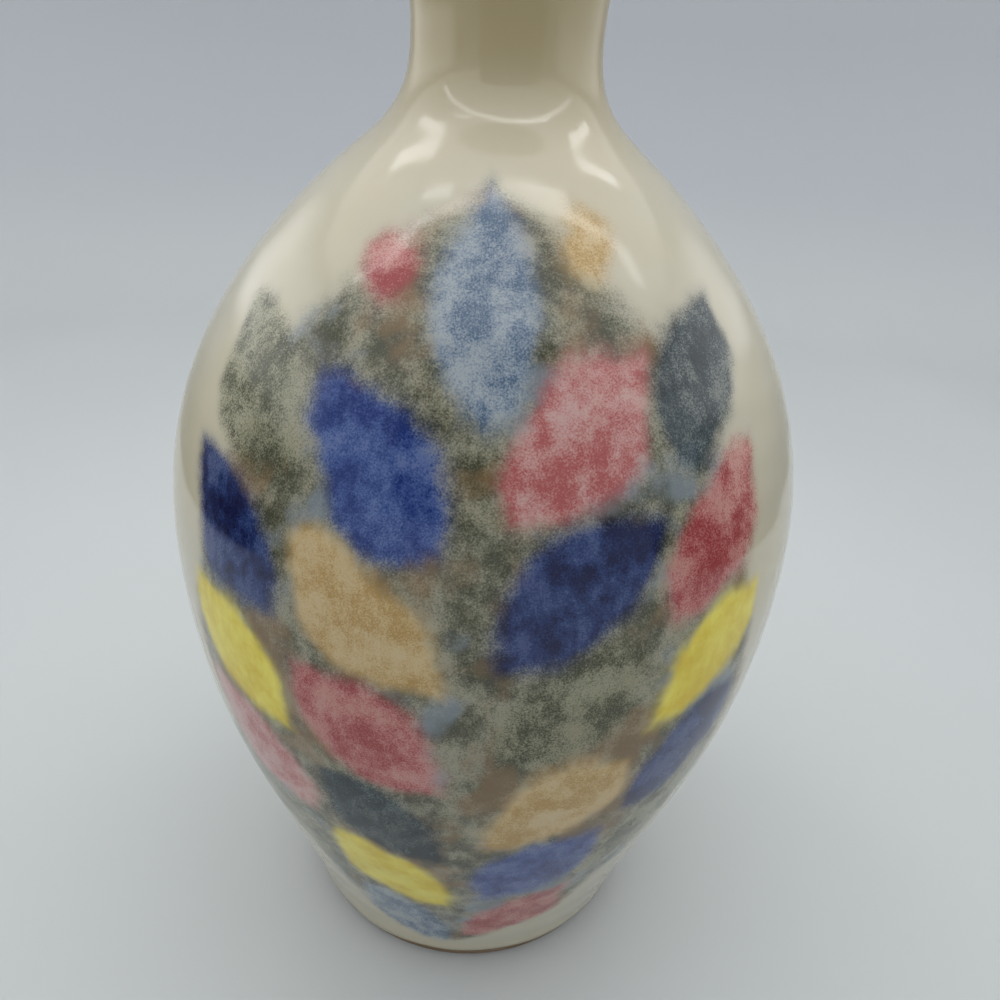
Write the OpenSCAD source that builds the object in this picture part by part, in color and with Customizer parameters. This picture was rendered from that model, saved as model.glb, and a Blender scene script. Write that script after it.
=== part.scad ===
// Hand-thrown bottle vase with a luted neck, glaze inside and out, and leaves brushed on its front

/* [Body] */
// Diameter of the foot at the table
foot_d = 76; // [66:1:88]
// Lean of the wall out from upright at the foot
foot_lean = 15; // [8:1:25]
// Widest diameter of the belly
belly_d = 124; // [112:1:138]
// Height of the widest part of the belly
belly_z = 97; // [85:1:110]
// Rise from the widest part to the turn of the shoulder
shoulder_rise = 63; // [54:1:72]
// Diameter at the turn of the shoulder
shoulder_d = 64; // [58:1:72]
// Lean of the shoulder in from upright at its turn
shoulder_lean = 47; // [40:1:55]

/* [Neck and lip] */
// Rise from the turn of the shoulder to the waist of the neck
neck_rise = 22; // [18:1:30]
// Diameter at the waist of the neck
neck_d = 33; // [28:1:36]
// Rise from the waist of the neck to the top of the lip
lip_rise = 18; // [14:1:30]
// Largest diameter of the flared lip
lip_d = 40; // [38:1:48]
// Lean of the lip out from upright
lip_lean = 30; // [20:1:45]
// Rise from the turn of the shoulder to the seam where the neck is luted on
seam_rise = 8; // [5:0.5:12]
// Thickness of the slip in that seam
slip_t = 0.8; // [0.4:0.1:1.5]

/* [Wall, coats included] */
// Wall at the foot
foot_wall = 8; // [6:0.5:10]
// Wall at the belly
belly_wall = 5.5; // [4:0.5:8]
// Wall at the shoulder
shoulder_wall = 5.5; // [4:0.5:8]
// Wall at the waist of the neck
neck_wall = 5; // [4:0.5:7]
// Wall at the lip
lip_t = 4; // [3:0.25:5]

/* [Foot and floor] */
// Width of the bare foot ring
foot_ring_w = 9; // [7:0.5:14]
// Depth of the hollow turned out of the underside
foot_recess = 4; // [3.5:0.5:7]
// Rounding of the edges of the foot ring
foot_edge = 1.5; // [0.8:0.1:1.7]
// Thickness of the clay floor
floor_t = 7; // [5:0.5:10]
// Height of the round where the floor turns up into the wall
floor_round = 14; // [8:1:22]

/* [Glaze and washes] */
// Thickness of the outer glaze coat
glaze_t = 0.5; // [0.3:0.05:0.8]
// Thickness of the liner glaze coat
liner_t = 0.4; // [0.3:0.05:0.8]
// Height of the glaze line above the table
glaze_line = 4; // [3:0.5:8]
// Thickness of a colour wash on the glaze
wash_t = 0.15; // [0.1:0.05:0.3]

/* [Leaf spray] */
// Height of the foot of the spray above the glaze line
spray_low = 22; // [20:1:28]
// Drop from the turn of the shoulder to the head of the spray, where the top leaf starts
spray_drop = 28; // [24:1:36]
// Rise from one leaf to the next in a column, as a share of the spray's height
leaf_step = 0.2; // [0.2:0.005:0.22]
// Climb of a leaf from its base to its tip, as a share of the spray's height
leaf_climb = 0.2; // [0.16:0.01:0.2]
// Width of a leaf as a share of its length
leaf_plump = 0.54; // [0.4:0.01:0.54]
// Length of the upright leaf at the top
top_leaf = 27; // [22:1:30]
// Diameter of a berry
berry_d = 8; // [6:0.5:9]

/* [Hidden] */
$fn = 128;

// Heights up the vase
shoulder_z = belly_z + shoulder_rise;
neck_z = shoulder_z + neck_rise;
vase_h = neck_z + lip_rise;
seam_z = shoulder_z + seam_rise;
inner_floor_z = foot_recess + floor_t + liner_t;

// Middle of the round on the lip
lip_middle = [(lip_d - lip_t) / 2, vase_h - lip_t / 2];

// Stations up the outside of the wall: radius, height, lean out from upright, wall
stations = [
    [foot_d / 2, 0, foot_lean, foot_wall],
    [belly_d / 2, belly_z, 0, belly_wall],
    [shoulder_d / 2, shoulder_z, -shoulder_lean, shoulder_wall],
    [neck_d / 2, neck_z, 0, neck_wall],
    [lip_middle.x + lip_t / 2 * cos(lip_lean), lip_middle.y - lip_t / 2 * sin(lip_lean), lip_lean, lip_t]];

// How far each span's curve holds its lean, at its lower and upper end, as a share of the span
hold = [[0.37, 0.40], [0.40, 0.33], [0.45, 0.45], [0.40, 0.30]];

// Steps of a curve in each span of the wall, round the lip and round an edge
span_steps = 16;
lip_steps = 12;
edge_steps = 5;

// Halvings of the search for the place on the wall at a given height
search_steps = 40;

// Points of a section nearer than this are one
weld = 0.001;

function along(lean) = [sin(lean), cos(lean)];
function reversed(list) = [for (i = [len(list) - 1 : -1 : 0]) list[i]];

// Four control points of the cubic curve between stations k and k + 1
function span_curve(k) =
    let (low = stations[k], high = stations[k + 1])
    let (p = [low[0], low[1]], q = [high[0], high[1]], reach = norm(q - p))
    [p, p + along(low[2]) * reach * hold[k][0], q - along(high[2]) * reach * hold[k][1], q];

spans = [for (k = [0 : len(stations) - 2]) span_curve(k)];
wall_end = len(spans);

function cubic(c, t) =
    (1 - t)^3 * c[0] + 3 * (1 - t)^2 * t * c[1] + 3 * (1 - t) * t^2 * c[2] + t^3 * c[3];
function cubic_slope(c, t) =
    (1 - t)^2 * (c[1] - c[0]) + 2 * (1 - t) * t * (c[2] - c[1]) + t^2 * (c[3] - c[2]);

// Points of a round from a to b whose sides meet at corner
function rounding(a, corner, b) =
    [for (i = [0 : edge_steps]) let (t = i / edge_steps) (1 - t)^2 * a + 2 * (1 - t) * t * corner + t^2 * b];

// The place s runs up the outside of the wall: 0 at the foot, and 1 more at each station
function span_at(s) = min(floor(s), wall_end - 1);
function wall_point(s) = cubic(spans[span_at(s)], s - span_at(s));
function wall_up(s) = let (d = cubic_slope(spans[span_at(s)], s - span_at(s))) d / norm(d);
function wall_t(s) =
    let (k = span_at(s), t = s - k, ease = t * t * (3 - 2 * t))
    stations[k][3] * (1 - ease) + stations[k + 1][3] * ease;

// Point at a depth into the wall, square to its outside
function layer(s, depth) = let (up = wall_up(s)) wall_point(s) - [up.y, -up.x] * depth;

// Place on the wall at height z
function place_at(z, low = 0, high = wall_end, tries = search_steps) =
    let (mid = (low + high) / 2)
    tries == 0 ? mid
    : wall_point(mid).y < z ? place_at(z, mid, high, tries - 1)
    : place_at(z, low, mid, tries - 1);

// Places from a to b, with every whole step between them
function places(a, b) =
    concat([a], [for (i = [floor(a * span_steps) + 1 : ceil(b * span_steps) - 1]) i / span_steps], [b]);

// Curves of the outside at a depth, and of the inside at a depth behind the liner's face
function outside(a, b, depth) = [for (s = places(a, b)) layer(s, depth)];
function inside(a, b, depth) = [for (s = places(a, b)) layer(s, wall_t(s) - depth)];

// Round of the lip between two directions, under a cover that changes from glaze to liner across the lip
function lip_round(from, to, outer_cover, inner_cover) =
    [for (i = [0 : lip_steps])
        let (turn = from + (to - from) * i / lip_steps, share = (turn + lip_lean) / 180)
        let (cover = outer_cover * (1 - share) + inner_cover * share)
        lip_middle + (lip_t / 2 - cover) * [cos(turn), sin(turn)]];

// Inside floor at a depth behind the liner's face, from the wall to the axis
function floor_curve(depth) =
    let (start = layer(floor_end, wall_t(floor_end) - depth), up = wall_up(floor_end))
    let (rise = start.y - inner_floor_z + depth, corner = start - up * rise / up.y)
    concat(rounding(start, corner, corner - [rise, 0]), [[0, corner.y]]);

// Places of the seam, the glaze line, the floor's round and the foot's edge
seam_low = place_at(seam_z - slip_t / 2);
seam_high = place_at(seam_z + slip_t / 2);
glaze_end = place_at(glaze_line);
floor_end = place_at(inner_floor_z + floor_round);
edge_end = place_at(foot_edge);

// Lip directions at its outside, crest and inside
lip_out = -lip_lean;
lip_crest = 90;
lip_in = 180 - lip_lean;

// Underside and foot ring, from the axis to the outside of the wall
function foot_section() =
    let (heel = [foot_d / 2 - foot_ring_w, 0], hollow = heel + [0, foot_recess])
    let (wall = layer(edge_end, glaze_t), up = wall_up(edge_end), toe = wall - up * wall.y / up.y)
    concat(
        [[0, foot_recess]],
        rounding(hollow - [foot_edge, 0], hollow, hollow - [0, foot_edge]),
        rounding(heel + [0, foot_edge], heel, heel + [foot_edge, 0]),
        rounding(toe - [foot_edge, 0], toe, wall));

// Columns of leaves: turn of their bases and of their tips from the front, rise of the top leaf's middle
// as a share of the spray, and pigments from the top down
columns = [
    [-4, -25, 0.93, ["cobalt", "ochre", "crimson", "teal", "yellow", "slate"]],
    [4, 25, 0.98, ["rose", "navy", "olive", "ochre", "cobalt", "crimson"]],
    [-29, -47, 1.00, ["olive", "navy", "yellow", "rose", "olive"]],
    [29, 47, 1.04, ["teal", "crimson", "yellow", "navy", "olive"]]];

// Berries: pigment, turn from the front and rise as a share of the spray
berries = [["crimson", -20, 1.16], ["ochre", 21, 1.2]];

spray_z = glaze_line + spray_low;
spray_h = shoulder_z - spray_drop - spray_z;

// Every leaf: pigment, turn and rise of its base, turn and rise of its tip
leaves = concat(
    [["slate", 0, 1, 0, 1 + top_leaf / spray_h]],
    [for (column = columns, i = [0 : len(column[3]) - 1])
        let (middle = column[2] - i * leaf_step)
        [column[3][i], column[0], middle - leaf_climb / 2, column[1], middle + leaf_climb / 2]]);

// Solid turned from a closed section
module turned(points) {
    count = len(points);
    kept = [for (i = [0 : count - 1]) if (norm(points[i] - points[(i + 1) % count]) > weld) points[i]];
    rotate_extrude() polygon(kept);
}

// Petal between two arcs
module petal(length, width) {
    bow = (length^2 + width^2) / (4 * width);
    intersection() {
        translate([bow - width / 2, 0]) circle(bow);
        translate([width / 2 - bow, 0]) circle(bow);
    }
}

// Thin wash on the glaze, cut to an outline that faces a turn from the front at height z
module wash(turn, z, half) {
    low = floor(place_at(z - half) * span_steps) / span_steps;
    high = ceil(place_at(z + half) * span_steps) / span_steps;
    intersection() {
        turned(concat(outside(low, high, -wash_t), reversed(outside(low, high, 0))));
        rotate([90, 0, turn])
            linear_extrude(belly_d)
                translate([0, z])
                    children();
    }
}

module leaf(base_turn, base_rise, tip_turn, tip_rise) {
    z = spray_z + (base_rise + tip_rise) / 2 * spray_h;
    across = (tip_turn - base_turn) * PI / 180 * wall_point(place_at(z)).x;
    climb = (tip_rise - base_rise) * spray_h;
    length = norm([across, climb]);
    wash((base_turn + tip_turn) / 2, z, length / 2)
        rotate(atan2(-across, climb))
            petal(length, length * leaf_plump);
}

module washes(pigment) {
    for (l = leaves)
        if (l[0] == pigment)
            leaf(l[1], l[2], l[3], l[4]);
    for (b = berries)
        if (b[0] == pigment)
            wash(b[1], spray_z + b[2] * spray_h, berry_d / 2)
                circle(d = berry_d);
}

module thrown_body()
    color("#d8c7ab")
        turned(concat(
            foot_section(),
            outside(edge_end, seam_low, glaze_t),
            reversed(inside(floor_end, seam_low, liner_t)),
            floor_curve(liner_t)));

module thrown_neck()
    color("#dccbb0")
        turned(concat(
            outside(seam_high, wall_end, glaze_t),
            lip_round(lip_out, lip_in, glaze_t, liner_t),
            reversed(inside(seam_high, wall_end, liner_t))));

module luting_slip()
    color("#c9b596")
        turned(concat(
            outside(seam_low, seam_high, glaze_t),
            reversed(inside(seam_low, seam_high, liner_t))));

module outer_glaze()
    color("#e6dfca")
        turned(concat(
            outside(glaze_end, wall_end, 0),
            lip_round(lip_out, lip_crest, 0, 0),
            reversed(lip_round(lip_out, lip_crest, glaze_t, liner_t)),
            reversed(outside(glaze_end, wall_end, glaze_t))));

module liner_glaze()
    color("#ece6d6")
        turned(concat(
            lip_round(lip_crest, lip_in, 0, 0),
            reversed(inside(floor_end, wall_end, 0)),
            floor_curve(0),
            reversed(floor_curve(liner_t)),
            inside(floor_end, wall_end, liner_t),
            reversed(lip_round(lip_crest, lip_in, glaze_t, liner_t))));

module navy_washes() color("#232a5c") washes("navy");
module cobalt_washes() color("#324c9c") washes("cobalt");
module slate_washes() color("#6d84a4") washes("slate");
module teal_washes() color("#2f4d58") washes("teal");
module crimson_washes() color("#a83a4b") washes("crimson");
module rose_washes() color("#c98390") washes("rose");
module yellow_washes() color("#e4d43f") washes("yellow");
module ochre_washes() color("#c1a468") washes("ochre");
module olive_washes() color("#77755c") washes("olive");

thrown_body();
thrown_neck();
luting_slip();
outer_glaze();
liner_glaze();
navy_washes();
cobalt_washes();
slate_washes();
teal_washes();
crimson_washes();
rose_washes();
yellow_washes();
ochre_washes();
olive_washes();
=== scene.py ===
"""A hand-thrown bottle vase in cream glaze, with a spray of leaves brushed on its front."""
import math

import bpy
import numpy as np
from mathutils import Matrix, Vector


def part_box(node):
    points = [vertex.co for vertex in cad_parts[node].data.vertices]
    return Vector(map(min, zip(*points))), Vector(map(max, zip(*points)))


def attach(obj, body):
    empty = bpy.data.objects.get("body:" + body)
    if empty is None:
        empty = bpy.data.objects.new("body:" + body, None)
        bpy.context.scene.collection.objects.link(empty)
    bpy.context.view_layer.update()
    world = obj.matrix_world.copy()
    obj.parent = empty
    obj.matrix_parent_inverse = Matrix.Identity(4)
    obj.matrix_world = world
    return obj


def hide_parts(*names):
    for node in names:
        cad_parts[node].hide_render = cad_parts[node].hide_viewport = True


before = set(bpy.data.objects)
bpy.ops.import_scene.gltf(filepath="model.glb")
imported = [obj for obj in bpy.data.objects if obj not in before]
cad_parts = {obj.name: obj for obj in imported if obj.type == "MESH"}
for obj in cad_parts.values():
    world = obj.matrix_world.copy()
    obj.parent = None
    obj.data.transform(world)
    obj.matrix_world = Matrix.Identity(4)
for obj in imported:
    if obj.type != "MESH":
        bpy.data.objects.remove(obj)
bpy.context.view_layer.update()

# Sizes are in millimetres, and MM turns them into the scene's metres
MM = 0.001
outer_low, outer_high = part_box("outer_glaze")
liner_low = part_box("liner_glaze")[0]
slip_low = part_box("luting_slip")[0]

# The coats, the foot ring and the round of the floor
GLAZE_T = 0.5
LINER_T = 0.4
FOOT_RING_W = 9
FOOT_RECESS = 4
FOOT_EDGE = 1.5
FLOOR_ROUND = 14

# The wall from the foot to the lip: radii, heights, leans and thicknesses
BELLY_R = outer_high.x / MM
VASE_H = outer_high.z / MM
GLAZE_LINE = outer_low.z / MM
INNER_FLOOR_Z = liner_low.z / MM + LINER_T
SEAM_LOW_Z = slip_low.z / MM
FOOT_R = 38
FOOT_LEAN = 15
FOOT_WALL = 8
BELLY_Z = 97
BELLY_WALL = 5.5
SHOULDER_R = 32
SHOULDER_Z = 160
SHOULDER_LEAN = 47
SHOULDER_WALL = 5.5
NECK_R = 16.5
NECK_Z = 182
NECK_WALL = 5
LIP_R = 20
LIP_LEAN = 30
LIP_T = 4

# Relief that the potter's hands leave: rings on the wall, a trace of oval, the run and the bead of the glaze
# line, and the turning marks of the foot
RING_PITCH = 7.5
OUTER_RINGS = 0.06
INNER_RINGS = 0.3
OVAL = 0.12
OVAL_START = 0.8
OVAL_TWIST = 60
GLAZE_RUN = 0.7
GLAZE_RUN_REACH = 9
GLAZE_BEAD = 0.3
GLAZE_BEAD_AT = 1.0
GLAZE_BEAD_W = 0.8
TURNING_PITCH = 2.2
TURNING_DEPTH = 0.12

# Slow waves by which the rings wander, sway and fade: their strength, and the rise of the wall in a radian
RING_WANDER = 0.9
RING_WANDER_RISE = 17
RING_SWAY = 0.6
RING_SWAY_RISE = 31
RING_FADE = 0.4
RING_FADE_RISE = 23
RING_FADE_START = 1.3
# Waves of the glaze line round the foot: strength, number and start
GLAZE_RUN_WAVES = ((0.5, 3, 0.4), (0.3, 7, 2), (0.2, 13, 5))

# Segments round the vase, rings on each span of the wall, on the floors and round each edge, and the angle
# from which an edge is sharp
AROUND = 256
SHOWN_RINGS = (90, 80, 44, 22)
HIDDEN_RINGS = (14, 12, 8, 6)
FLOOR_RINGS = 16
HIDDEN_FLOOR_RINGS = 4
UNDER_RINGS = 40
LIP_RINGS = 12
EDGE_RINGS = 6
SHARP_ANGLE = 50
# Points nearer to the axis than this are on it, and this many halvings find a height on the wall
AXIS_R = 0.001
SEARCH_STEPS = 40

# The leaf spray: how far it starts above the glaze line and ends below the shoulder, and its leaves
SPRAY_LOW = 22
SPRAY_DROP = 28
SPRAY_Z = GLAZE_LINE + SPRAY_LOW
SPRAY_H = SHOULDER_Z - SPRAY_DROP - SPRAY_Z
LEAF_STEP = 0.2
LEAF_CLIMB = 0.2
LEAF_PLUMP = 0.54
TOP_LEAF = 27
BERRY_D = 8

# Columns of leaves: turn of their bases and of their tips from the front, rise of the top leaf's middle as
# a share of the spray, and pigments from the top down
COLUMNS = (
    (-4, -25, 0.93, ("cobalt", "ochre", "crimson", "teal", "yellow", "slate")),
    (4, 25, 0.98, ("rose", "navy", "olive", "ochre", "cobalt", "crimson")),
    (-29, -47, 1.00, ("olive", "navy", "yellow", "rose", "olive")),
    (29, 47, 1.04, ("teal", "crimson", "yellow", "navy", "olive")),
)
# Berries: pigment, turn from the front and rise as a share of the spray
BERRIES = (("crimson", -20, 1.16), ("ochre", 21, 1.2))

# The thin wash behind the leaves: the height of its middle, its height, its width, its deep and pale tone,
# how far it has gathered into grains, and the tones that it drifts to with the range of noise of each
WASH_Z = SPRAY_Z + SPRAY_H * 0.55
WASH_H = SPRAY_H * 1.42
WASH_W = 92
WASH_DEEP = "#3f4130"
WASH_PALE = "#8d8b76"
WASH_GATHERED = 0.42
WASH_DRIFTS = (("#7d6342", 0.49, 0.38), ("#7f8a92", 0.53, 0.64))
WASH_DRIFT_SHARE = 0.8

# Pigments: deep tone, pale tone, and how far the pigment has gathered into grains
PIGMENTS = {
    "navy": ("#0e1440", "#2c4680", 0.35),
    "cobalt": ("#1b2f6e", "#4c65a0", 0.40),
    "slate": ("#566b84", "#a6b1ba", 0.50),
    "teal": ("#081820", "#2c4550", 0.60),
    "crimson": ("#9c3f42", "#cb8a84", 0.50),
    "rose": ("#b0605f", "#d4a9a3", 0.45),
    "yellow": ("#dcc026", "#efe05a", 0.10),
    "ochre": ("#b08f54", "#d6bc8d", 0.50),
    "olive": ("#424430", "#95947a", 0.60),
}

# How the washes settle: the wavers of their edges as size and reach, then the sizes of clouds, streaks,
# grains and patches, how far streaks are drawn out, and how strong streaks, grains and grainy edges are
WAVERS = ((17, 9.0), (3.0, 1.8))
WASH_CLOUD = 6.5
STREAK_SIZE = 1.7
STREAK_SQUEEZE = 0.3
STREAK_REACH = 0.4
GRAIN_SIZE = 0.28
GRAIN_REACH = 2.0
GRAINY_EDGE = 0.4
PATCH_SIZE = 19
ROUGH_CLOUD = 0.6

# The edge of a dab: how far it fades outwards and inwards, the faint halo round it, and how far from the
# vase's middle the front begins
EDGE_OUT = 2.2
EDGE_IN = 1.5
HALO_OUT = 3.0
HALO_IN = 0.5
HALO_AMOUNT = 0.25
FRONT_DEPTH = 6.0

# How well a wash covers: from thin to dense places, at its best, and what gathering into grains takes away
THIN = -0.3
DENSE = 0.6
FULL_COVER = 0.97
GRAIN_GAPS = 0.5

# Half of the range of noise that soft and firm clouds use
SOFT = 0.2
FIRM = 0.15

# The glaze: its two tones, then the painted shade on the neck (a darker, browner tone for the shade under the
# lip), its tones on the thin edge of the lip and pooled above the foot, where these begin and end, and its
# gloss and the ripple of its face
GLAZE_TONES = ("#cac2a9", "#c8c2ae")
GLAZE_CLOUD = 26
# Painted shade: a darker, browner glaze tone on the neck, for the shade that the lip casts on it
NECK_SHADE_TONE = "#afa17e"
NECK_SHADE_DROP = 2
THIN_TONE = "#b59a6c"
THIN_SHARE = 0.4
THIN_START = 2.5
THIN_END = 0.3
POOL_TONE = "#b3ab8c"
POOL_SHARE = 0.35
POOL_H = 7
GLAZE_ROUGHNESS = (0.09, 0.15)
GLOSS_CLOUD = 9
GLAZE_IOR = 1.47
RIPPLE_SIZE = 2.4
RIPPLE_H = 0.012

# The clay: pale and deep tones, its dark grit, and the band round the foot, toasted and darkened further with
# painted contact shade where the foot stands on the floor
CLAY_TONES = ("#d3c1a2", "#c0aa86")
SLIP_TONES = ("#c6b391", "#b49d77")
CLAY_CLOUD = 6
GRIT_SIZE = 0.5
GRIT_H = 0.05
SPECK_TONE = "#6e573c"
SPECKS = (0.62, 0.72)
SPECK_SHARE = 0.6
# Toasted clay and painted contact shade: the dark band on the outer edge of the foot, where it stands on the
# floor
TOAST_AND_SHADE_TONE = "#6f543a"
TOAST_AND_SHADE_SHARE = 0.8
TOAST_AND_SHADE_INNER = 3
TOAST_AND_SHADE_OUTER = 0.5
TOAST_AND_SHADE_LOW = 1
TOAST_AND_SHADE_HIGH = 5
CLAY_ROUGHNESS = (0.75, 0.92)

# The camera: its lens as pixels of focal length, its place and its tilt
IMAGE_PX = 1000
FOCAL_PX = 752
SENSOR = 36
CLIP_START = 10
CAMERA_PLACE = Vector((3.33, -148.46, 164.42)) * MM
CAMERA_PITCH = 24.709
CAMERA_ROLL = 3.354


# The wall's profile

def along(lean):
    """Direction up a wall that leans out from upright."""
    return np.array([math.sin(math.radians(lean)), math.cos(math.radians(lean))])


LIP_MIDDLE = np.array([LIP_R - LIP_T / 2, VASE_H - LIP_T / 2])
LIP_OUTSIDE = LIP_MIDDLE + LIP_T / 2 * along(90 + LIP_LEAN)

# Stations up the outside of the wall: radius, height, lean out from upright, wall
STATIONS = (
    (FOOT_R, 0, FOOT_LEAN, FOOT_WALL),
    (BELLY_R, BELLY_Z, 0, BELLY_WALL),
    (SHOULDER_R, SHOULDER_Z, -SHOULDER_LEAN, SHOULDER_WALL),
    (NECK_R, NECK_Z, 0, NECK_WALL),
    (LIP_OUTSIDE[0], LIP_OUTSIDE[1], LIP_LEAN, LIP_T),
)
# How far each span's curve holds its lean, at its lower and upper end, as a share of the span
HOLD = ((0.37, 0.40), (0.40, 0.33), (0.45, 0.45), (0.40, 0.30))
WALL_END = len(STATIONS) - 1


def span_curve(k):
    """Four control points of the cubic curve between stations k and k + 1."""
    p, q = np.array(STATIONS[k][:2]), np.array(STATIONS[k + 1][:2])
    reach = np.linalg.norm(q - p)
    low, high = along(STATIONS[k][2]), along(STATIONS[k + 1][2])
    return p, p + low * reach * HOLD[k][0], q - high * reach * HOLD[k][1], q


SPANS = [span_curve(k) for k in range(WALL_END)]


def split(s):
    """Span and share of it at place s, which runs from 0 at the foot and gains 1 at each station."""
    k = min(int(s), WALL_END - 1)
    return k, s - k


def wall_point(s):
    """Point on the outside of the wall at place s, as radius and height."""
    k, t = split(s)
    a, b, c, d = SPANS[k]
    return (1 - t) ** 3 * a + 3 * (1 - t) ** 2 * t * b + 3 * (1 - t) * t**2 * c + t**3 * d


def wall_up(s):
    """Direction up the outside of the wall at place s."""
    k, t = split(s)
    a, b, c, d = SPANS[k]
    slope = (1 - t) ** 2 * (b - a) + 2 * (1 - t) * t * (c - b) + t**2 * (d - c)
    return slope / np.linalg.norm(slope)


def wall_t(s):
    """Thickness of the wall at place s, with both coats."""
    k, t = split(s)
    ease = t * t * (3 - 2 * t)
    return STATIONS[k][3] * (1 - ease) + STATIONS[k + 1][3] * ease


def out_of(up):
    """Direction square to a wall that runs along up, away from the clay."""
    return np.array([up[1], -up[0]])


def layer(s, depth):
    """Point at a depth into the wall, square to its outside."""
    return wall_point(s) - out_of(wall_up(s)) * depth


def place_at(z):
    """Place on the wall at height z."""
    low, high = 0.0, float(WALL_END)
    for _ in range(SEARCH_STEPS):
        middle = (low + high) / 2
        low, high = (middle, high) if wall_point(middle)[1] < z else (low, middle)
    return low


def places(start, end, rings):
    """Places from start to end, with the given number of rings on each whole span."""
    marks = [k + i / rings[k] for k in range(WALL_END) for i in range(rings[k])]
    return [start] + [s for s in marks if start < s < end] + [end]


# Sections are lists of (radius, height, out radius, out height, weight): a point, the way out of its face,
# and how much of the relief it takes

def outside(start, end, depth, rings, weight):
    """The outside of the wall at a depth."""
    return [(*layer(s, depth), *out_of(wall_up(s)), weight) for s in places(start, end, rings)]


def inside(start, end, depth, rings, weight):
    """The inside of the wall at a depth behind the liner's face."""
    return [(*layer(s, wall_t(s) - depth), *-out_of(wall_up(s)), weight) for s in places(start, end, rings)]


def lip_round(start, end, outer_cover, inner_cover):
    """The round of the lip between two directions, under a cover that changes across it."""
    points = []
    for turn in np.linspace(start, end, LIP_RINGS + 1):
        share = (turn + LIP_LEAN) / 180
        cover = outer_cover * (1 - share) + inner_cover * share
        way = along(90 - turn)
        points.append((*(LIP_MIDDLE + (LIP_T / 2 - cover) * way), *way, 0))
    return points


def rounding(a, corner, b):
    """Points of a round from a to b whose sides meet at corner."""
    points = []
    for t in np.linspace(0, 1, EDGE_RINGS + 1):
        point = (1 - t) ** 2 * a + 2 * (1 - t) * t * corner + t**2 * b
        slope = (1 - t) * (corner - a) + t * (b - corner)
        points.append((*point, *out_of(slope / np.linalg.norm(slope)), 0))
    return points


FLOOR_END = place_at(INNER_FLOOR_Z + FLOOR_ROUND)
GLAZE_END = place_at(GLAZE_LINE)
SEAM_LOW = place_at(SEAM_LOW_Z)
EDGE_END = place_at(FOOT_EDGE)
LIP_OUT, LIP_CREST, LIP_IN = -LIP_LEAN, 90, 180 - LIP_LEAN


def floor_curve(depth, rings):
    """The inside floor at a depth behind the liner's face, from the wall to the axis."""
    start = layer(FLOOR_END, wall_t(FLOOR_END) - depth)
    up = wall_up(FLOOR_END)
    rise = start[1] - INNER_FLOOR_Z + depth
    corner = start - up * rise / up[1]
    flat = corner[0] - rise
    floor = [(flat * (1 - i / rings), corner[1], 0, 1, 1) for i in range(1, rings + 1)]
    return rounding(start, corner, corner - np.array([rise, 0])) + floor


# Relief, in millimetres into the face

def wave(angle):
    """A wave from 0 to 1."""
    return 0.5 + 0.5 * np.sin(angle)


def rings_of(theta, z):
    """Rings that climb the wall in one spiral, uneven in depth, from 0 to 1."""
    wander = RING_WANDER * np.sin(z / RING_WANDER_RISE)
    sway = RING_SWAY * np.sin(2 * theta + z / RING_SWAY_RISE)
    uneven = 1 - RING_FADE + RING_FADE * np.sin(z / RING_FADE_RISE + theta + RING_FADE_START)
    return uneven * wave(2 * math.pi * z / RING_PITCH + theta + (wander + sway))


def oval_of(theta, z):
    """How far the wall is out of round, from 0 to 1, with a slow twist up the wall."""
    return 0.5 + 0.5 * np.cos(2 * theta + OVAL_START + z / OVAL_TWIST)


def outer_relief(theta, r, z):
    """Faint rings and the trace of oval outside."""
    return OUTER_RINGS * rings_of(theta, z) + OVAL * oval_of(theta, z)


def inner_relief(theta, r, z):
    """Rings inside, which run on across the floor."""
    return INNER_RINGS * rings_of(theta, z + r)


def turned_relief(theta, r, z):
    """Fine spiral of the turning tool on the foot."""
    return TURNING_DEPTH * wave(2 * math.pi * (r + z) / TURNING_PITCH + theta)


def glaze_run(theta):
    """How far the glaze line runs up or down round the foot, from -1 to 1."""
    return sum(strength * np.sin(number * theta + start) for strength, number, start in GLAZE_RUN_WAVES)


def run_glaze(theta, r, z):
    """Moves the lower end of the coat along the foot to its uneven line."""
    reach = np.clip((z - GLAZE_LINE) / GLAZE_RUN_REACH, 0, 1)
    shift = GLAZE_RUN * glaze_run(theta) * (1 - reach) ** 2
    lean = along(FOOT_LEAN)
    return r + shift * lean[0], z + shift * lean[1]


def stay(theta, r, z):
    """Leaves a ring where it is."""
    return r, z


# Solids turned from a section

def smooth_piece(name, corners, faces):
    """A smooth mesh in the scene."""
    mesh = bpy.data.meshes.new(name)
    mesh.from_pydata(corners, [], faces)
    mesh.polygons.foreach_set("use_smooth", [True] * len(faces))
    piece = bpy.data.objects.new(name, mesh)
    bpy.context.scene.collection.objects.link(piece)
    return piece


def band(low, high):
    """Faces between two rings of corners, one of which may be a single point on the axis."""
    faces = []
    for i in range(AROUND):
        j = (i + 1) % AROUND
        if len(low) == 1:
            faces.append((low[0], high[j], high[i]))
        elif len(high) == 1:
            faces.append((low[i], low[j], high[0]))
        else:
            faces.append((low[i], low[j], high[j], high[i]))
    return faces


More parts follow.
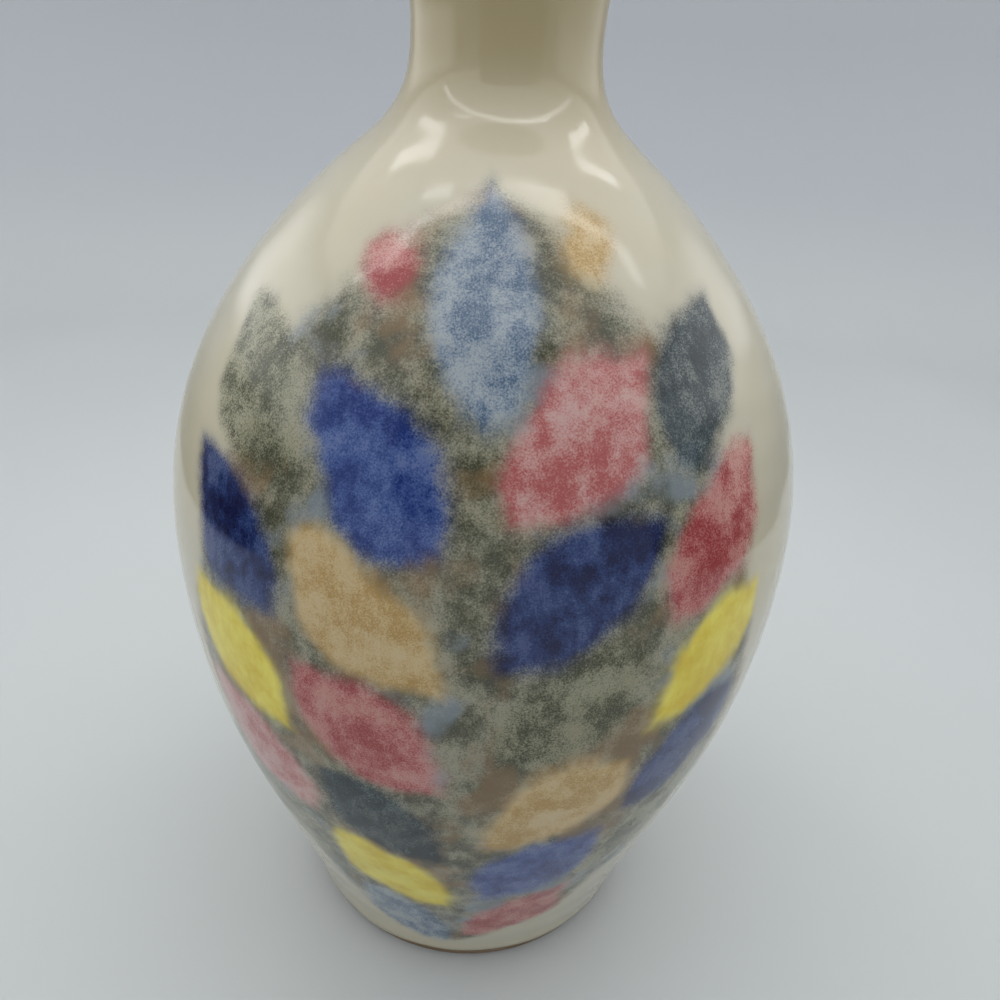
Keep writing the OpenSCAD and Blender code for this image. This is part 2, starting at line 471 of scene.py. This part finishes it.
def lathe(name, section, relief, move=stay, closed=True):
    """A mesh turned from a section: a closed loop, or a chain whose two ends are on the axis."""
    theta = np.arange(AROUND) * 2 * math.pi / AROUND
    corners, faces, rings = [], [], []
    for r, z, out_r, out_z, weight in section:
        if r < AXIS_R:
            rings.append([len(corners)])
            corners.append((0, 0, z * MM))
            continue
        depth = weight * relief(theta, r, z)
        at_r, at_z = move(theta, r - out_r * depth, z - out_z * depth)
        rings.append(list(range(len(corners), len(corners) + AROUND)))
        ring = np.stack([at_r * np.sin(theta), -at_r * np.cos(theta), at_z], 1) * MM
        corners += [tuple(corner) for corner in ring]
    following = rings[1:] + rings[:1] if closed else rings[1:]
    for low, high in zip(rings, following):
        faces += band(low, high)
    piece = smooth_piece(name, corners, faces)
    piece.data.set_sharp_from_angle(angle=math.radians(SHARP_ANGLE))
    piece.data.update()
    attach(piece, "root")
    return piece


def glaze_edge():
    """The rounded lower edge of the outer coat, from the clay to the face."""
    up = wall_up(GLAZE_END)
    out = out_of(up)
    middle = layer(GLAZE_END, GLAZE_T / 2)
    ways = [-math.cos(a) * out - math.sin(a) * up for a in np.linspace(0, math.pi, EDGE_RINGS + 1)]
    return [(*(middle + GLAZE_T / 2 * way), *way, 0) for way in ways[:-1]]


def beaded(section):
    """The section with the glaze swollen to a bead just above its lower edge."""
    points = []
    for r, z, out_r, out_z, weight in section:
        swell = GLAZE_BEAD * math.exp(-(((z - GLAZE_LINE - GLAZE_BEAD_AT) / GLAZE_BEAD_W) ** 2))
        points.append((r + out_r * swell, z + out_z * swell, out_r, out_z, weight))
    return points


def make_glaze_coat():
    """The outer coat from the glaze line to the crest of the lip, with the washes that sink into it."""
    face = beaded(outside(GLAZE_END, WALL_END, 0, SHOWN_RINGS, 1))
    back = outside(GLAZE_END, WALL_END, GLAZE_T, HIDDEN_RINGS, 0)
    lip = lip_round(LIP_OUT, LIP_CREST, 0, 0)
    under_lip = lip_round(LIP_OUT, LIP_CREST, GLAZE_T, LINER_T)
    section = glaze_edge() + face + lip[1:] + under_lip[::-1] + back[1:-1][::-1]
    coat = lathe("glaze_coat", section, outer_relief, run_glaze)
    washes = [f"{pigment}_washes" for pigment in PIGMENTS]
    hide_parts("outer_glaze", *washes)
    return coat


def make_liner_coat():
    """The coat inside, from the crest of the lip down over the floor."""
    lip = lip_round(LIP_CREST, LIP_IN, 0, 0)
    under_lip = lip_round(LIP_CREST, LIP_IN, GLAZE_T, LINER_T)
    face = inside(FLOOR_END, WALL_END, 0, SHOWN_RINGS, 1)
    back = inside(FLOOR_END, WALL_END, LINER_T, HIDDEN_RINGS, 0)
    top = floor_curve(0, FLOOR_RINGS)
    under = floor_curve(LINER_T, HIDDEN_FLOOR_RINGS)
    section = top[::-1] + face[1:] + lip[::-1][1:] + under_lip + back[::-1][1:] + under[1:]
    coat = lathe("liner_coat", section, inner_relief, closed=False)
    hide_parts("liner_glaze")
    return coat


def make_clay_body():
    """The clay from the recess under the foot, round the foot ring, up to the seam and down the inside."""
    heel = np.array([FOOT_R - FOOT_RING_W, 0])
    hollow = heel + np.array([0, FOOT_RECESS])
    wall = layer(EDGE_END, GLAZE_T)
    up = wall_up(EDGE_END)
    toe = wall - up * wall[1] / up[1]
    across, rise = np.array([FOOT_EDGE, 0]), np.array([0, FOOT_EDGE])
    under_end = hollow[0] - FOOT_EDGE
    section = [(under_end * i / UNDER_RINGS, FOOT_RECESS, 0, -1, 1) for i in range(UNDER_RINGS)]
    section += rounding(hollow - across, hollow, hollow - rise)
    section += rounding(heel + rise, heel, heel + across)
    section += rounding(toe - across, toe, wall)
    section += outside(EDGE_END, SEAM_LOW, GLAZE_T, HIDDEN_RINGS, 0)[1:]
    section += inside(FLOOR_END, SEAM_LOW, LINER_T, HIDDEN_RINGS, 0)[::-1]
    section += floor_curve(LINER_T, HIDDEN_FLOOR_RINGS)[1:]
    body = lathe("clay_body", section, turned_relief, closed=False)
    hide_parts("thrown_body")
    return body


# Shader nodes, added in the order in which they are worked out

# Sockets of a mix of two colours: its share, its colours and its result
MIX_SHARE, MIX_FIRST, MIX_SECOND, MIX_RESULT = 0, 6, 7, 2


def tint(code):
    """Linear colour of a hex code."""
    shares = [int(code[i:i + 2], 16) / 255 for i in (1, 3, 5)]
    return (*[c / 12.92 if c <= 0.04045 else ((c + 0.055) / 1.055) ** 2.4 for c in shares], 1.0)


def put(tree, socket, value):
    """Links a socket to another one, or sets its value."""
    if isinstance(value, bpy.types.NodeSocket):
        tree.links.new(value, socket)
    else:
        socket.default_value = value


def math_node(tree, operation, *values):
    """A sum on numbers."""
    node = tree.nodes.new("ShaderNodeMath")
    node.operation = operation
    for socket, value in zip(node.inputs, values):
        put(tree, socket, value)
    return node.outputs[0]


def vector_node(tree, operation, *values):
    """A sum on vectors."""
    node = tree.nodes.new("ShaderNodeVectorMath")
    node.operation = operation
    sockets = [node.inputs[0], node.inputs["Scale"]] if operation == "SCALE" else node.inputs
    for socket, value in zip(sockets, values):
        put(tree, socket, value)
    return node.outputs["Value"] if operation in ("LENGTH", "DOT_PRODUCT") else node.outputs["Vector"]


def ramp(tree, value, low, high, start=0.0, end=1.0):
    """A smooth step from start to end as value goes from low to high."""
    node = tree.nodes.new("ShaderNodeMapRange")
    node.interpolation_type = "SMOOTHSTEP"
    names = ("Value", "From Min", "From Max", "To Min", "To Max")
    for name, given in zip(names, (value, low, high, start, end)):
        put(tree, node.inputs[name], given)
    return node.outputs["Result"]


def mix(tree, share, first, second):
    """A share of the second colour in the first."""
    node = tree.nodes.new("ShaderNodeMix")
    node.data_type = "RGBA"
    put(tree, node.inputs[MIX_SHARE], share)
    put(tree, node.inputs[MIX_FIRST], first)
    put(tree, node.inputs[MIX_SECOND], second)
    return node.outputs[MIX_RESULT]


def noise(tree, place, size, detail=2.0, roughness=0.5, output="Fac"):
    """Noise whose features are about size across."""
    node = tree.nodes.new("ShaderNodeTexNoise")
    put(tree, node.inputs["Vector"], place)
    node.inputs["Scale"].default_value = 1 / size
    node.inputs["Detail"].default_value = detail
    node.inputs["Roughness"].default_value = roughness
    return node.outputs[output]


def clouds(tree, place, size, half_range, start=0.0, end=1.0, detail=3.0, roughness=0.5):
    """Noise that reaches from start to end, in clouds of about a size."""
    value = noise(tree, place, size, detail, roughness)
    return ramp(tree, value, 0.5 - half_range, 0.5 + half_range, start, end)


def about_zero(tree, value, reach):
    """A value from 0 to 1, spread from -reach to reach."""
    return math_node(tree, "MULTIPLY_ADD", value, 2 * reach, -reach)


def height_of(tree, place):
    """Height of a place."""
    node = tree.nodes.new("ShaderNodeSeparateXYZ")
    put(tree, node.inputs[0], place)
    return node.outputs["Z"]


def new_material(name):
    """A material with a Principled shader: its tree, its shader and the place in millimetres."""
    material = bpy.data.materials.new(name)
    material.use_nodes = True
    tree = material.node_tree
    shader = tree.nodes["Principled BSDF"]
    object_place = tree.nodes.new("ShaderNodeTexCoord").outputs["Object"]
    return material, tree, shader, vector_node(tree, "SCALE", object_place, 1 / MM)


def bump(tree, shader, height, distance):
    """Lifts the surface by height times a distance in millimetres."""
    node = tree.nodes.new("ShaderNodeBump")
    node.inputs["Distance"].default_value = distance * MM
    put(tree, node.inputs["Height"], height)
    put(tree, shader.inputs["Normal"], node.outputs["Normal"])


# The leaf spray, as washes of pigment in the glaze

def leaf_shapes():
    """Every leaf and berry: pigment, turn of its middle, height of its middle, across, climb, width."""
    shapes = []
    leaves = [("slate", 0, 1, 0, 1 + TOP_LEAF / SPRAY_H)]
    for base_turn, tip_turn, top, pigments in COLUMNS:
        for i, pigment in enumerate(pigments):
            rise = top - i * LEAF_STEP
            leaves.append((pigment, base_turn, rise - LEAF_CLIMB / 2, tip_turn, rise + LEAF_CLIMB / 2))
    for pigment, base_turn, base_rise, tip_turn, tip_rise in leaves:
        z = SPRAY_Z + (base_rise + tip_rise) / 2 * SPRAY_H
        across = math.radians(tip_turn - base_turn) * wall_point(place_at(z))[0]
        climb = (tip_rise - base_rise) * SPRAY_H
        width = math.hypot(across, climb) * LEAF_PLUMP
        shapes.append((pigment, (base_turn + tip_turn) / 2, z, across, climb, width))
    for pigment, turn, rise in BERRIES:
        shapes.append((pigment, turn, SPRAY_Z + rise * SPRAY_H, 0, BERRY_D, BERRY_D))
    return shapes


def dab_group():
    """A node group that gives how much pigment a leaf-shaped dab lays at a place."""
    tree = bpy.data.node_groups.new("dab", "ShaderNodeTree")
    place_names = ("Across", "Facing", "Height", "Cover", "Ragged")
    shape_names = ("Middle", "Lean Cos", "Lean Sin", "Bow", "Inset")
    for name in place_names + shape_names:
        tree.interface.new_socket(name, in_out="INPUT", socket_type="NodeSocketFloat")
    tree.interface.new_socket("Amount", in_out="OUTPUT", socket_type="NodeSocketFloat")
    given = tree.nodes.new("NodeGroupInput").outputs
    up = math_node(tree, "SUBTRACT", given["Height"], given["Middle"])
    side = math_node(tree, "SUBTRACT", math_node(tree, "MULTIPLY", given["Across"], given["Lean Cos"]),
                     math_node(tree, "MULTIPLY", up, given["Lean Sin"]))
    length = math_node(tree, "MULTIPLY_ADD", given["Across"], given["Lean Sin"],
                       math_node(tree, "MULTIPLY", up, given["Lean Cos"]))
    reach = math_node(tree, "ADD", math_node(tree, "ABSOLUTE", side), given["Inset"])
    square = math_node(tree, "MULTIPLY_ADD", reach, reach, math_node(tree, "MULTIPLY", length, length))
    depth = math_node(tree, "SUBTRACT", given["Bow"], math_node(tree, "SQRT", square))
    core = ramp(tree, math_node(tree, "ADD", depth, given["Ragged"]), -EDGE_OUT, EDGE_IN)
    laid = math_node(tree, "MULTIPLY", core, given["Cover"])
    halo = ramp(tree, depth, -HALO_OUT, HALO_IN, 0.0, HALO_AMOUNT)
    amount = math_node(tree, "MULTIPLY", math_node(tree, "MAXIMUM", laid, halo), given["Facing"])
    result = tree.nodes.new("NodeGroupOutput")
    tree.links.new(amount, result.inputs["Amount"])
    return tree


def waver(tree, place, size, reach):
    """A shift of up to about half of reach in any direction, in patches of a size."""
    shift = vector_node(tree, "SUBTRACT", noise(tree, place, size, 1.0, output="Color"), (0.5, 0.5, 0.5))
    return vector_node(tree, "SCALE", shift, reach)


def paint(tree, place, ground):
    """The ground colour with the leaf spray washed over it."""
    warped = place
    for size, reach in WAVERS:
        warped = vector_node(tree, "ADD", warped, waver(tree, place, size, reach))
    height = height_of(tree, warped)
    cloud = clouds(tree, place, WASH_CLOUD, SOFT, roughness=ROUGH_CLOUD)
    drawn = vector_node(tree, "MULTIPLY", warped, (1, 1, STREAK_SQUEEZE))
    streak = about_zero(tree, noise(tree, drawn, STREAK_SIZE), STREAK_REACH)
    density = math_node(tree, "ADD", cloud, streak)
    grain = about_zero(tree, noise(tree, place, GRAIN_SIZE, detail=1.0), GRAIN_REACH)
    ragged = math_node(tree, "MULTIPLY", grain, GRAINY_EDGE)
    group = dab_group()
    sides = {}

    def side_of(turn):
        """Distance across the front that faces a turn, and whether a place is on that front."""
        if turn not in sides:
            c, s = math.cos(math.radians(turn)), math.sin(math.radians(turn))
            across = vector_node(tree, "DOT_PRODUCT", warped, (c, s, 0))
            facing = ramp(tree, vector_node(tree, "DOT_PRODUCT", place, (s, -c, 0)), 0.0, FRONT_DEPTH)
            sides[turn] = (across, facing)
        return sides[turn]

    def lay(colour, tone, cover, turn, z, across, climb, width):
        """The colour with one dab of a tone laid over it."""
        length = math.hypot(across, climb)
        bow = (length**2 + width**2) / (4 * width)
        shape = (z, climb / length, across / length, bow, bow - width / 2)
        dab = tree.nodes.new("ShaderNodeGroup")
        dab.node_tree = group
        for socket, value in zip(dab.inputs, (*side_of(turn), height, cover, ragged, *shape)):
            put(tree, socket, value)
        return mix(tree, dab.outputs["Amount"], colour, tone)

    def toned(deep, pale, gathered):
        """A tone that is deep where the pigment is dense, and how well it covers."""
        share = math_node(tree, "MULTIPLY_ADD", grain, gathered, density)
        cover = ramp(tree, share, THIN, DENSE, 1 - GRAIN_GAPS * gathered, FULL_COVER)
        return mix(tree, share, tint(pale), tint(deep)), cover

    tones = {pigment: toned(*looks) for pigment, looks in PIGMENTS.items()}
    wash, wash_cover = toned(WASH_DEEP, WASH_PALE, WASH_GATHERED)
    patch = noise(tree, place, PATCH_SIZE, 3.0, ROUGH_CLOUD)
    for tone, start, end in WASH_DRIFTS:
        wash = mix(tree, ramp(tree, patch, start, end, 0.0, WASH_DRIFT_SHARE), wash, tint(tone))
    colour = lay(ground, wash, wash_cover, 0, WASH_Z, 0, WASH_H, WASH_W)
    for pigment, *shape in leaf_shapes():
        colour = lay(colour, *tones[pigment], *shape)
    return colour


def glaze_material(name, painted):
    """Cream gloss glaze, clouded in tone, with painted shade that darkens the neck, thin on the lip and
    pooled above the foot.
    """
    material, tree, shader, place = new_material(name)
    height = height_of(tree, place)
    colour = mix(tree, clouds(tree, place, GLAZE_CLOUD, FIRM), *[tint(tone) for tone in GLAZE_TONES])
    # Painted shade: the neck turns to the darker, browner tone, standing in for the shade under the lip
    neck = ramp(tree, height, SHOULDER_Z - NECK_SHADE_DROP, NECK_Z)
    colour = mix(tree, neck, colour, tint(NECK_SHADE_TONE))
    thin = ramp(tree, height, VASE_H - THIN_START, VASE_H - THIN_END, 0.0, THIN_SHARE)
    colour = mix(tree, thin, colour, tint(THIN_TONE))
    pooled = ramp(tree, height, GLAZE_LINE + POOL_H, GLAZE_LINE, 0.0, POOL_SHARE)
    colour = mix(tree, pooled, colour, tint(POOL_TONE))
    if painted:
        colour = paint(tree, place, colour)
    put(tree, shader.inputs["Base Color"], colour)
    roughness = clouds(tree, place, GLOSS_CLOUD, SOFT, *GLAZE_ROUGHNESS, detail=2.0)
    put(tree, shader.inputs["Roughness"], roughness)
    shader.inputs["IOR"].default_value = GLAZE_IOR
    bump(tree, shader, noise(tree, place, RIPPLE_SIZE), RIPPLE_H)
    return material


def clay_material(name, pale, deep):
    """Bare fired clay with grit and specks, toasted round the foot where it meets the glaze, and darkened
    there with painted contact shade.
    """
    material, tree, shader, place = new_material(name)
    height = height_of(tree, place)
    grit = noise(tree, place, GRIT_SIZE)
    colour = mix(tree, clouds(tree, place, CLAY_CLOUD, FIRM), tint(pale), tint(deep))
    colour = mix(tree, ramp(tree, grit, *SPECKS, 0.0, SPECK_SHARE), colour, tint(SPECK_TONE))
    radius = vector_node(tree, "LENGTH", vector_node(tree, "MULTIPLY", place, (1, 1, 0)))
    # Toasted clay and painted contact shade: a dark band on the outer edge of the foot, below the glaze line
    outside_foot = ramp(tree, radius, FOOT_R - TOAST_AND_SHADE_INNER, FOOT_R - TOAST_AND_SHADE_OUTER, 0.0, TOAST_AND_SHADE_SHARE)
    near_line = ramp(tree, height, GLAZE_LINE + TOAST_AND_SHADE_HIGH, GLAZE_LINE + TOAST_AND_SHADE_LOW)
    toast_and_shade = math_node(tree, "MULTIPLY", outside_foot, near_line)
    colour = mix(tree, toast_and_shade, colour, tint(TOAST_AND_SHADE_TONE))
    put(tree, shader.inputs["Base Color"], colour)
    put(tree, shader.inputs["Roughness"], ramp(tree, grit, 0.5 - SOFT, 0.5 + SOFT, *CLAY_ROUGHNESS))
    bump(tree, shader, grit, GRIT_H)
    return material


def dress(piece, material):
    """Gives a piece its one material."""
    piece.data.materials.clear()
    piece.data.materials.append(material)


# The stage

# The backdrop: its radius, its height, the round between floor and wall, its tones, and the height at which
# the wall's greyer tone, a painted shade for the light that falls off up the wall, is full
BACKDROP_R = 1000
BACKDROP_H = 900
BACKDROP_SEGMENTS = 128
SWEEP_R = 320
SWEEP_RINGS = 16
FLOOR_TONES = ("#cacece", "#cdd1d1")
# Painted shade: the wall's greyer tone stands in for the light that falls off up the wall
WALL_SHADE_TONE = "#c1c5ca"
WALL_SHADE_Z = 160
PAPER_CLOUD = 90
PAPER_ROUGHNESS = 0.7

# The dark card in front
CARD_Y = -320
CARD_LEFT = -185
CARD_RIGHT = 310
CARD_LOW = 150
CARD_HIGH = 610
CARD_CLOUD = 60
CARD_TONES = ("#2b2a28", "#33312e")

# The cards and the panels of light at both sides: their places, where the cards turn pale, how far the edges
# of the panels fade, and their radiance, in which 1 is a white surface
SIDE_X = 350
SIDE_FRONT = -250
SIDE_BACK = 450
SIDE_CARD_LOW = 5
SIDE_CARD_HIGH = 190
SIDE_CARD_DARK = "#33312e"
SIDE_CARD_PALE = "#c3c7c8"
SIDE_CARD_PALE_Z = 40
SIDE_CARD_PALE_Y = 120
SIDE_LIGHT_LOW = 180
SIDE_LIGHT_HIGH = 430
SIDE_LIGHT_TONE = "#c3c7c8"
FADE_LOW = 60
FADE_HIGH = 110
FADE_FRONT = 120
FADE_BACK = 250
LEFT_RADIANCE = 1.25
RIGHT_RADIANCE = 0.9

# Lamps overhead, all at one height: place across and back, width, depth, radiance and turn
LAMP_Z = 620
LAMPS = {
    "left_strip": (-168, 20, 88, 12, 5.0, -22),
    "right_strip": (122, 8, 140, 12, 5.0, 16),
    "long_strip": (0, -18, 945, 32, 3.2, 7.5),
    "left_panel": (-255, 192, 170, 64, 3.0, -33),
    "right_panel": (280, 226, 165, 52, 3.0, 33),
}
SKY = (1.17, 1.17, 1.18, 1)
WHITE = (1, 1, 1, 1)


def sheet(name, corners, faces):
    """A stage piece from corners in millimetres."""
    piece = smooth_piece(name, [Vector(corner) * MM for corner in corners], faces)
    return piece


def make_backdrop():
    """A pale round floor that sweeps up into a wall on all sides, greyer towards its top as painted shade."""
    turns = np.linspace(0, math.pi / 2, SWEEP_RINGS + 1)
    middle = BACKDROP_R - SWEEP_R
    profile = [(middle + SWEEP_R * math.sin(a), SWEEP_R - SWEEP_R * math.cos(a)) for a in turns]
    profile.append((BACKDROP_R, BACKDROP_H))
    around = np.arange(BACKDROP_SEGMENTS) * 2 * math.pi / BACKDROP_SEGMENTS
    corners = [(r * math.cos(a), r * math.sin(a), z) for r, z in profile for a in around]
    faces = [tuple(range(BACKDROP_SEGMENTS))]
    for ring in range(len(profile) - 1):
        low = ring * BACKDROP_SEGMENTS
        high = low + BACKDROP_SEGMENTS
        for i in range(BACKDROP_SEGMENTS):
            j = (i + 1) % BACKDROP_SEGMENTS
            faces.append((low + i, high + i, high + j, low + j))
    material, tree, shader, place = new_material("backdrop_paper")
    colour = mix(tree, noise(tree, place, PAPER_CLOUD, 3.0), *[tint(tone) for tone in FLOOR_TONES])
    # Painted shade: the wall greys upwards, standing in for the light that falls off towards its top
    colour = mix(tree, ramp(tree, height_of(tree, place), 0, WALL_SHADE_Z), colour, tint(WALL_SHADE_TONE))
    put(tree, shader.inputs["Base Color"], colour)
    shader.inputs["Roughness"].default_value = PAPER_ROUGHNESS
    dress(sheet("backdrop", corners, faces), material)


def rectangle(left, right, low, high):
    """Corners of a rectangle, in order."""
    return (left, low), (right, low), (right, high), (left, high)


def make_panel(name, corners, material, lights):
    """A sheet that the camera doesn't see and that stops no light. One that lights nothing shows in gloss."""
    panel = sheet(name, corners, [(0, 1, 2, 3)])
    dress(panel, material)
    panel.visible_camera = False
    panel.visible_shadow = False
    panel.visible_diffuse = lights


def make_front_card():
    """A dark card behind the camera, seen in the front of the glaze alone."""
    material, tree, shader, place = new_material("dark_card")
    colour = mix(tree, noise(tree, place, CARD_CLOUD), *[tint(tone) for tone in CARD_TONES])
    put(tree, shader.inputs["Base Color"], colour)
    corners = [(x, CARD_Y, z) for x, z in rectangle(CARD_LEFT, CARD_RIGHT, CARD_LOW, CARD_HIGH)]
    make_panel("front_card", corners, material, lights=False)


def make_side_card(name, x):
    """A card seen in the glaze alone, dark at the front of the floor and paler upwards and backwards."""
    material, tree, shader, place = new_material(name)
    depth = vector_node(tree, "DOT_PRODUCT", place, (0, 1, 0))
    upper = ramp(tree, height_of(tree, place), SIDE_CARD_PALE_Z, SIDE_CARD_HIGH)
    pale = math_node(tree, "MAXIMUM", upper, ramp(tree, depth, SIDE_CARD_PALE_Y, SIDE_BACK))
    put(tree, shader.inputs["Base Color"], mix(tree, pale, tint(SIDE_CARD_DARK), tint(SIDE_CARD_PALE)))
    corners = [(x, y, z) for y, z in rectangle(SIDE_FRONT, SIDE_BACK, SIDE_CARD_LOW, SIDE_CARD_HIGH)]
    make_panel(name, corners, material, lights=False)


def make_side_light(name, x, radiance):
    """A panel of light at the height of the neck and the lip, which fades at its edges."""
    material, tree, shader, place = new_material(name)
    height = height_of(tree, place)
    depth = vector_node(tree, "DOT_PRODUCT", place, (0, 1, 0))
    risen = math_node(tree, "MULTIPLY",
                      ramp(tree, height, SIDE_LIGHT_LOW, SIDE_LIGHT_LOW + FADE_LOW),
                      ramp(tree, height, SIDE_LIGHT_HIGH, SIDE_LIGHT_HIGH - FADE_HIGH))
    within = math_node(tree, "MULTIPLY",
                       ramp(tree, depth, SIDE_FRONT, SIDE_FRONT + FADE_FRONT),
                       ramp(tree, depth, SIDE_BACK, SIDE_BACK - FADE_BACK))
    glow = math_node(tree, "MULTIPLY", risen, within)
    shader.inputs["Base Color"].default_value = tint(SIDE_LIGHT_TONE)
    shader.inputs["Emission Color"].default_value = WHITE
    put(tree, shader.inputs["Emission Strength"], math_node(tree, "MULTIPLY", glow, radiance))
    corners = [(x, y, z) for y, z in rectangle(SIDE_FRONT, SIDE_BACK, SIDE_LIGHT_LOW, SIDE_LIGHT_HIGH)]
    make_panel(name, corners, material, lights=True)


def make_lamp(name, x, y, width, depth, radiance, turn):
    """A soft rectangular lamp that looks down, with an even radiance in which 1 is a white surface."""
    light = bpy.data.lights.new(name, "AREA")
    light.shape = "RECTANGLE"
    light.size = width * MM
    light.size_y = depth * MM
    light.energy = radiance * math.pi * light.size * light.size_y
    fixture = bpy.data.objects.new(name, light)
    fixture.location = Vector((x, y, LAMP_Z)) * MM
    fixture.rotation_euler.z = math.radians(turn)
    fixture.visible_camera = False
    bpy.context.scene.collection.objects.link(fixture)


def make_sky():
    """An even white sky over the backdrop."""
    world = bpy.data.worlds.new("studio")
    world.use_nodes = True
    world.node_tree.nodes["Background"].inputs["Color"].default_value = SKY
    bpy.context.scene.world = world


def make_camera():
    """The camera, pitched down and rolled a little."""
    data = bpy.data.cameras.new("camera")
    data.sensor_width = SENSOR
    data.lens = FOCAL_PX / IMAGE_PX * SENSOR
    data.clip_start = CLIP_START * MM
    camera = bpy.data.objects.new("camera", data)
    pitch, roll = math.radians(CAMERA_PITCH), math.radians(CAMERA_ROLL)
    level = Vector((1, 0, 0))
    upright = Vector((0, math.sin(pitch), math.cos(pitch)))
    right = math.cos(roll) * level + math.sin(roll) * upright
    up = math.cos(roll) * upright - math.sin(roll) * level
    turn = Matrix((right, up, right.cross(up))).transposed()
    camera.matrix_world = Matrix.Translation(CAMERA_PLACE) @ turn.to_4x4()
    bpy.context.scene.collection.objects.link(camera)
    bpy.context.scene.camera = camera


make_camera()
dress(make_glaze_coat(), glaze_material("cream_glaze", painted=True))
dress(make_liner_coat(), glaze_material("liner_glaze", painted=False))
clay = clay_material("fired_clay", *CLAY_TONES)
dress(make_clay_body(), clay)
dress(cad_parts["thrown_neck"], clay)
dress(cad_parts["luting_slip"], clay_material("fired_slip", *SLIP_TONES))
make_backdrop()
make_front_card()
make_side_card("left_card", -SIDE_X)
make_side_card("right_card", SIDE_X)
make_side_light("left_light", -SIDE_X, LEFT_RADIANCE)
make_side_light("right_light", SIDE_X, RIGHT_RADIANCE)
for lamp_name, lamp_facts in LAMPS.items():
    make_lamp(lamp_name, *lamp_facts)
make_sky()
bpy.context.scene.view_settings.view_transform = "Standard"
